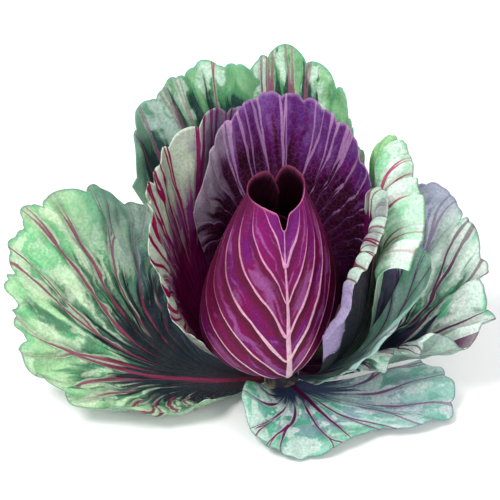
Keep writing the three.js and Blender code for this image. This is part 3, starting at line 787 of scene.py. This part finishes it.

# ---- looks, one for each leaf: colours as 0-255 display values ----
# The darkest foot colours, next to the head, are partly painted shade.
LOOKS = {
    # Heart: the dark flank colour is painted shade at its sides, the near-black inner colour painted shade
    # inside it, and the one-sided vein shade painted shade too.
    "heart_leaf": dict(
        foot=(84, 6, 48), middle=(116, 12, 74), margin=(140, 44, 114), wash=(108, 46, 120),
        light=(164, 108, 164), deep=(78, 0, 36), halo=(146, 50, 112), flank=(80, 0, 40),
        edge=(214, 130, 170), under_veins=1.0, vein_foot=(216, 188, 196), vein_tip=(206, 152, 182),
        under=(150, 60, 125), inner=(38, 2, 22), inner_strength=0.97, foot_end=0.12, margin_start=0.85,
        wash_strength=0.75, light_strength=0.6, deep_strength=1.0, halo_strength=0.1, edge_width=0.03,
        stain=13.0, cover=0.42, light_cover=0.34, flank_strength=0.85, flank_from=0.02, flank_start=0.18,
        flank_end=0.5, net=0.03, fade=0.0, streaking=0.6, one_side=-0.75,
    ),
    # The core leaves' near-black colours are painted shade inside the heart.
    "core_leaf_a": dict(
        foot=(26, 2, 12), middle=(34, 3, 20), margin=(52, 8, 38), wash=(14, 4, 40), light=(40, 6, 30),
        deep=(24, 2, 10), halo=(40, 6, 28), flank=(26, 2, 14), edge=(92, 30, 66), vein_foot=(50, 8, 30),
        vein_tip=(80, 20, 54), under=(40, 5, 26), inner=(20, 1, 12), net=0.05,
    ),
    "back_cup_leaf": dict(
        foot=(52, 2, 32), middle=(104, 30, 96), margin=(104, 64, 130), wash=(84, 34, 100),
        light=(132, 96, 150), deep=(84, 30, 92), halo=(110, 66, 124), flank=(170, 160, 168),
        edge=(150, 112, 160), vein_foot=(60, 8, 40), vein_tip=(184, 144, 186), under=(128, 130, 150),
        under_strength=0.7, foot_end=0.83, margin_start=0.9, wash_strength=0.7, light_strength=0.4,
        deep_strength=0.3, halo_strength=0.2, light_cover=0.36, spread=0.08, flank_strength=0.65,
        flank_from=-1.0, flank_start=1.45, flank_end=1.75, flank_foot=0.0, fade=0.0, vein_strength=0.75,
    ),
    "left_cup_leaf": dict(
        foot=(112, 20, 76), middle=(128, 62, 118), margin=(178, 190, 170), wash=(84, 34, 92),
        light=(184, 196, 186), deep=(96, 22, 70), halo=(196, 206, 188), flank=(116, 66, 126),
        edge=(206, 220, 204), vein_foot=(66, 2, 34), vein_tip=(132, 40, 78), under=(126, 150, 140),
        under_strength=0.75, foot_end=0.6, margin_start=0.8, wash_strength=0.4, light_strength=0.4,
        deep_strength=0.35, halo_strength=0.2, cover=0.36, light_cover=0.42, spread=0.07, streaking=0.45,
        flank_strength=0.75, flank_from=1.0, flank_start=1.45, flank_end=1.85, fade=0.0,
    ),
    # Right cup: the near-black foot and middle colours are painted shade on its inner face, and the dark
    # under colour painted shade on its outer face.
    "right_cup_leaf": dict(
        foot=(34, 3, 22), middle=(56, 8, 50), margin=(196, 222, 206), wash=(82, 26, 84), light=(96, 40, 92),
        deep=(60, 6, 46), halo=(120, 60, 110), flank=(158, 144, 180), edge=(214, 230, 218),
        vein_foot=(110, 50, 96), vein_tip=(118, 30, 58), under=(30, 42, 46), under_strength=0.9,
        foot_end=0.66, margin_start=0.88, light_strength=0.2, deep_strength=0.15, halo_strength=0.1,
        stain=2.5, cover=0.45, spread=0.02, streaking=0.12, under_veins=0.08, flank_strength=0.95,
        flank_from=1.0, flank_start=1.42, flank_end=1.5, flank_foot=0.0,
    ),
    "right_upper_leaf": dict(
        foot=(40, 66, 62), middle=(116, 172, 126), margin=(206, 240, 218), wash=(140, 212, 164),
        light=(240, 250, 244), deep=(116, 146, 120), halo=(222, 236, 220), flank=(138, 196, 128),
        edge=(124, 160, 136), vein_foot=(112, 56, 84), vein_tip=(178, 96, 122), under=(150, 184, 164),
        under_strength=0.7, foot_end=0.62, margin_start=0.8, wash_strength=0.65, light_strength=0.7,
        deep_strength=0.25, halo_strength=0.35, cover=0.45, light_cover=0.45, flank_strength=0.8,
        flank_from=-1.0, flank_start=1.55, flank_end=1.8, fade=0.6,
    ),
    "back_leaf": dict(
        foot=(28, 70, 62), middle=(96, 160, 110), margin=(146, 200, 148), wash=(70, 140, 98),
        light=(212, 240, 222), deep=(60, 122, 88), halo=(196, 226, 196), flank=(112, 122, 150),
        edge=(104, 176, 144), vein_foot=(98, 52, 80), vein_tip=(154, 92, 116), under=(140, 178, 158),
        under_strength=0.7, foot_end=0.86, margin_start=0.93, wash_strength=0.6, light_strength=0.85,
        richness=1.0, deep_strength=0.3, stain=5.0, cover=0.42, light_cover=0.42, spread=0.03,
        streaking=0.9, flank_strength=0.4, flank_from=-1.0, flank_start=1.3, flank_end=1.8, fade=0.5,
        vein_width=1.2,
    ),
    "right_lower_leaf": dict(
        foot=(76, 104, 110), middle=(200, 234, 228), margin=(190, 230, 220), wash=(118, 190, 156),
        light=(224, 244, 240), deep=(84, 106, 112), halo=(140, 176, 166), flank=(52, 98, 84),
        edge=(150, 184, 172), vein_foot=(128, 68, 126), vein_tip=(146, 92, 144), under=(120, 156, 146),
        under_strength=0.6, foot_end=0.24, margin_start=0.9, wash_strength=0.6, deep_strength=0.3,
        halo_strength=0.3,
    ),
    "far_right_leaf": dict(
        foot=(22, 28, 48), middle=(92, 136, 118), margin=(232, 252, 240), wash=(116, 200, 158),
        light=(250, 254, 250), deep=(34, 44, 62), halo=(244, 252, 246), flank=(158, 152, 190),
        edge=(132, 152, 150), vein_foot=(58, 30, 58), vein_tip=(100, 60, 88), under=(140, 172, 158),
        under_strength=0.7, foot_end=0.68, margin_start=0.8, wash_strength=0.8, light_strength=0.75,
        deep_strength=0.8, stain=8.0, cover=0.4, light_cover=0.45, spread=0.05, streaking=0.9,
        flank_strength=0.8, flank_from=-1.0, flank_start=1.45, flank_end=1.8,
    ),
    "front_leaf": dict(
        foot=(42, 60, 82), middle=(136, 168, 170), margin=(160, 212, 190), wash=(90, 178, 144),
        light=(222, 238, 230), deep=(64, 76, 108), halo=(216, 234, 226), flank=(176, 172, 208),
        edge=(112, 150, 148), vein_foot=(84, 22, 66), vein_tip=(118, 50, 92), under=(150, 186, 172),
        under_strength=0.6, foot_end=0.32, margin_start=0.76, wash_strength=0.75, light_strength=0.7,
        deep_strength=0.45, halo_strength=0.35, stain=5.0, cover=0.46, light_cover=0.42, spread=0.08,
        streaking=0.6, flank_strength=0.22, flank_from=-1.0, flank_start=1.0, flank_end=1.4,
    ),
    "left_outer_leaf": dict(
        foot=(12, 24, 42), middle=(80, 138, 102), margin=(176, 224, 170), wash=(96, 194, 132),
        light=(226, 244, 212), deep=(20, 48, 50), halo=(206, 230, 194), flank=(78, 100, 120),
        edge=(112, 158, 136), vein_foot=(128, 14, 66), vein_tip=(142, 78, 100), under=(146, 184, 160),
        under_strength=0.7, foot_end=0.56, margin_start=0.76, wash_strength=0.7, light_strength=0.55,
        fade=0.6, deep_strength=0.75, halo_strength=0.5, stain=7.0, cover=0.42, light_cover=0.42,
        spread=0.06, streaking=0.9, flank_strength=0.6, flank_from=1.0, flank_start=1.45, flank_end=1.8,
        richness=0.95,
    ),
}
LOOK_OF = {
    "core_leaf_b": "core_leaf_a", "core_leaf_c": "core_leaf_a",
    "back_left_leaf": "left_outer_leaf", "back_right_leaf": "back_leaf",
}


def group_node(t, name, inputs):
    n = t.node("ShaderNodeGroup")
    n.node_tree = GROUPS[name]
    for k, value in inputs.items():
        t.feed(n.inputs[k], value)
    return n.outputs


def new_material(name):
    mat = bpy.data.materials.new(name)
    mat.use_nodes = True
    mat.node_tree.nodes.clear()
    return mat, Tree(mat.node_tree)


def leaf_material(name, look, number):
    """A leaf's material: the shared groups laid out with this leaf's colours."""
    mat, t = new_material(name)
    seed = (0.37 * number, 0.61 * number, 0.23 * number)
    get = look.get
    veins = group_node(t, "vein", {"Width": get("vein_width", 1.0), "Painted shade width": get("stain", 4.0),
                                   "Fade": get("fade", 0.3), "One side": get("one_side", 0.0), "Seed": seed})
    washes = group_node(t, "blotch", {"Cover": get("cover", 0.5), "Light cover": get("light_cover", 0.4),
                                      "Seed": seed})
    net = group_node(t, "net", {})["Net"]
    inputs = {}
    for label in [*COLOUR_SOCKETS, *NUMBER_SOCKETS]:
        key = label.lower().replace(" ", "_")
        if key in look:
            inputs[label] = tint(*look[key]) if label in COLOUR_SOCKETS else look[key]
    inputs |= {"Net strength": get("net", 0.12), "Seed": seed, "Line mask": veins["Line"],
               "Painted shade mask": veins["Painted shade"], "Painted highlight mask": veins["Halo"], "Wash mask": washes["Mask"],
               "Light mask": washes["Light"], "Streak": washes["Streak"], "Grain": washes["Grain"],
               "Net": net}
    colour = group_node(t, "colour", inputs)["Color"]
    finish = group_node(t, "finish", {"Line mask": veins["Line"], "Net": net, "Grain": washes["Grain"],
                                      "Wash mask": washes["Mask"]})
    bump = t.node("ShaderNodeBump", {"Strength": 0.4, "Distance": 0.0012, "Height": finish["Height"]})
    skin = t.node("ShaderNodeBsdfPrincipled", {
        "Base Color": colour, "Roughness": finish["Roughness"], "Normal": bump.outputs[0],
        "Subsurface Weight": 0.1, "Subsurface Radius": (0.6, 0.9, 0.4), "Subsurface Scale": 0.004,
        "Specular IOR Level": 0.2,
    })
    t.node("ShaderNodeOutputMaterial", {"Surface": skin.outputs[0]})
    return mat


# ---- the stalk ----
def stalk_mesh():
    """The stalk: rings round an upright axis whose radius tapers upward, with low leaf scars and ribs,
    closed below by a slightly dished cut face and above by a rounded top."""
    around, rows = 96, 60
    a = np.linspace(0, 2 * np.pi, around, endpoint=False)[:, None]
    share = np.linspace(0, 1, rows)[None, :]
    z = 0.6 + (STALK_HEIGHT - 0.8) * share
    r = STALK_FOOT_RADIUS - 0.5 + (STALK_TOP_RADIUS - STALK_FOOT_RADIUS) * z / STALK_HEIGHT
    scars = 0.28 * np.exp(-(((z - 3.2) / 0.9) ** 2)) * (1 + np.sin(5 * a)) / 2
    r = r + scars + 0.12 * np.sin(9 * a + 0.3 * z) - 6 * ease(0.93, 1.0, share) ** 2
    z = z + 0 * a
    side = np.stack([r * np.cos(a), r * np.sin(a), z], -1)
    rings = np.array([0.985, 0.9, 0.72, 0.5, 0.28, 0.1])[None, :]
    depth = np.array([0.0, 0.0, 0.0, 0.04, 0.1, 0.14])[None, :]
    cut = np.stack([r[:, :1] * rings * np.cos(a), r[:, :1] * rings * np.sin(a), depth + 0 * a], -1)
    crown = np.stack([r[:, -1:] * [0.6, 0.25] * np.cos(a), r[:, -1:] * [0.6, 0.25] * np.sin(a),
                      np.array([[STALK_HEIGHT - 0.1, STALK_HEIGHT]]) + 0 * a], -1)
    sheet = np.concatenate([cut[:, ::-1], side, crown], 1)
    columns = sheet.shape[1]
    at = np.arange(around * columns).reshape(around, columns)
    nxt = np.roll(at, -1, axis=0)
    quads = np.stack([at[:, :-1], nxt[:, :-1], nxt[:, 1:], at[:, 1:]], -1).reshape(-1, 4)
    points = sheet.reshape(-1, 3)
    low, high = len(points), len(points) + 1
    points = np.concatenate([points, [[0, 0, 0.15], [0, 0, STALK_HEIGHT]]])
    half = np.arange(0, around, 2)
    step1, step2 = (half + 1) % around, (half + 2) % around
    fan_low = np.stack([at[half, 0], np.full(len(half), low), at[step2, 0], at[step1, 0]], 1)
    fan_high = np.stack([at[half, -1], at[step1, -1], at[step2, -1], np.full(len(half), high)], 1)
    return mesh_of("cut_stalk_skin", points * MM, np.concatenate([quads, fan_low, fan_high]))


def stalk_material():
    """Fibrous stalk: green-cream skin near the ground that turns dark above as painted shade under the
    leaves, and a cut face with a woody ring round a pale pith.
    """
    mat, t = new_material("stalk")
    where = t.node("ShaderNodeTexCoord").outputs["Object"]
    x, y, z = t.node("ShaderNodeSeparateXYZ", {0: where}).outputs[:]
    radius = t.math("SQRT", t.plus(t.times(x, x), t.times(y, y)))
    ring = t.between(t.math("ABSOLUTE", t.less(radius, 0.0125)), 0.002, 0.0)
    face = t.times(ring, t.between(z, 0.0012, 0.0002))
    fibre = t.noise(160, 4)
    # Painted shade: the skin darkens from about 4 to 12 mm up, where the leaves shade it.
    skin = t.mix(t.between(z, 0.004, 0.012), tint(206, 202, 160), tint(44, 38, 56))
    pale = t.times(t.between(fibre, 0.45, 0.65), t.between(z, 0.02, 0.008, 0.1, 0.5))
    skin = t.mix(pale, skin, tint(176, 164, 128))
    skin = t.mix(face, skin, tint(150, 120, 96))
    bump = t.node("ShaderNodeBump", {"Strength": 0.4, "Distance": 0.001, "Height": fibre})
    base = t.node("ShaderNodeBsdfPrincipled",
                  {"Base Color": skin, "Roughness": 0.7, "Normal": bump.outputs[0]})
    t.node("ShaderNodeOutputMaterial", {"Surface": base.outputs[0]})
    return mat


# ---- the object's pieces ----
def add_piece(name, me, material):
    """A piece that rides on the cabbage and stands for its CAD node, which it hides; it carries its own
    material.
    """
    me.materials.append(material)
    piece = bpy.data.objects.new(name + "_skin", me)
    bpy.context.collection.objects.link(piece)
    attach(piece, "root")
    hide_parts(name)
    return piece


def build_cabbage():
    add_piece("cut_stalk", stalk_mesh(), stalk_material())
    for number, (name, leaf) in enumerate(LEAVES.items()):
        look = LOOKS[LOOK_OF.get(name, name)]
        add_piece(name, leaf_mesh(name, leaf), leaf_material(name, look, number + 1))


# ---- floor, light and camera ----
def plain_material(name, colour, roughness):
    mat = bpy.data.materials.new(name)
    mat.use_nodes = True
    base = mat.node_tree.nodes["Principled BSDF"]
    base.inputs["Base Color"].default_value = colour
    base.inputs["Roughness"].default_value = roughness
    return mat


def build_floor():
    """A pale floor that curves up into a wall behind."""
    reach, back, height, bend = 3.0, 1.6, 3.0, 0.8
    turn = np.linspace(0, np.pi / 2, 13)
    y = np.concatenate([[-4.0], back + bend * np.sin(turn), [back + bend]])
    z = np.concatenate([[0.0], bend - bend * np.cos(turn), [height]])
    left = np.stack([np.full_like(y, -reach), y, z], 1)
    right = left * [-1, 1, 1]
    n = len(y)
    i = np.arange(n - 1)
    quads = np.stack([i, i + n, i + n + 1, i + 1], 1)
    me = mesh_of("floor", np.concatenate([left, right]), quads)
    me.materials.append(plain_material("floor", tint(250, 250, 250), 0.9))
    floor = bpy.data.objects.new("floor", me)
    bpy.context.collection.objects.link(floor)


def area_light(name, place, size, watts, target):
    data = bpy.data.lights.new(name, "AREA")
    data.shape = "DISK"
    data.size = size
    data.energy = watts
    light = bpy.data.objects.new(name, data)
    light.location = place
    towards = Vector(target) - Vector(place)
    light.rotation_euler = towards.to_track_quat("-Z", "Y").to_euler()
    bpy.context.collection.objects.link(light)


def build_light():
    area_light("key", (-1.2, -0.7, 2.2), 1.1, 42, CAMERA_TARGET)
    area_light("fill", (1.6, -1.6, 1.3), 1.4, 15, CAMERA_TARGET)
    area_light("front", (0.2, -2.1, 1.7), 1.2, 10, CAMERA_TARGET)
    area_light("back", (0.5, 1.6, 1.7), 1.0, 14, CAMERA_TARGET)
    world = bpy.data.worlds.new("studio")
    world.use_nodes = True
    sky = world.node_tree.nodes["Background"]
    sky.inputs[0].default_value = (1, 1, 1, 1)
    sky.inputs[1].default_value = 0.55
    bpy.context.scene.world = world


def build_camera():
    data = bpy.data.cameras.new("camera")
    data.lens = CAMERA_LENS
    data.sensor_width = 36  # millimetres, a full frame
    cam = bpy.data.objects.new("camera", data)
    rise = math.radians(CAMERA_RISE)
    x, y, z = CAMERA_TARGET
    cam.location = (x, y - CAMERA_AWAY * math.cos(rise), z + CAMERA_AWAY * math.sin(rise))
    cam.rotation_euler = (math.pi / 2 - rise, 0, 0)
    bpy.context.collection.objects.link(cam)
    bpy.context.scene.camera = cam


build_cabbage()
build_floor()
build_light()
build_camera()
bpy.context.scene.view_settings.view_transform = "Standard"
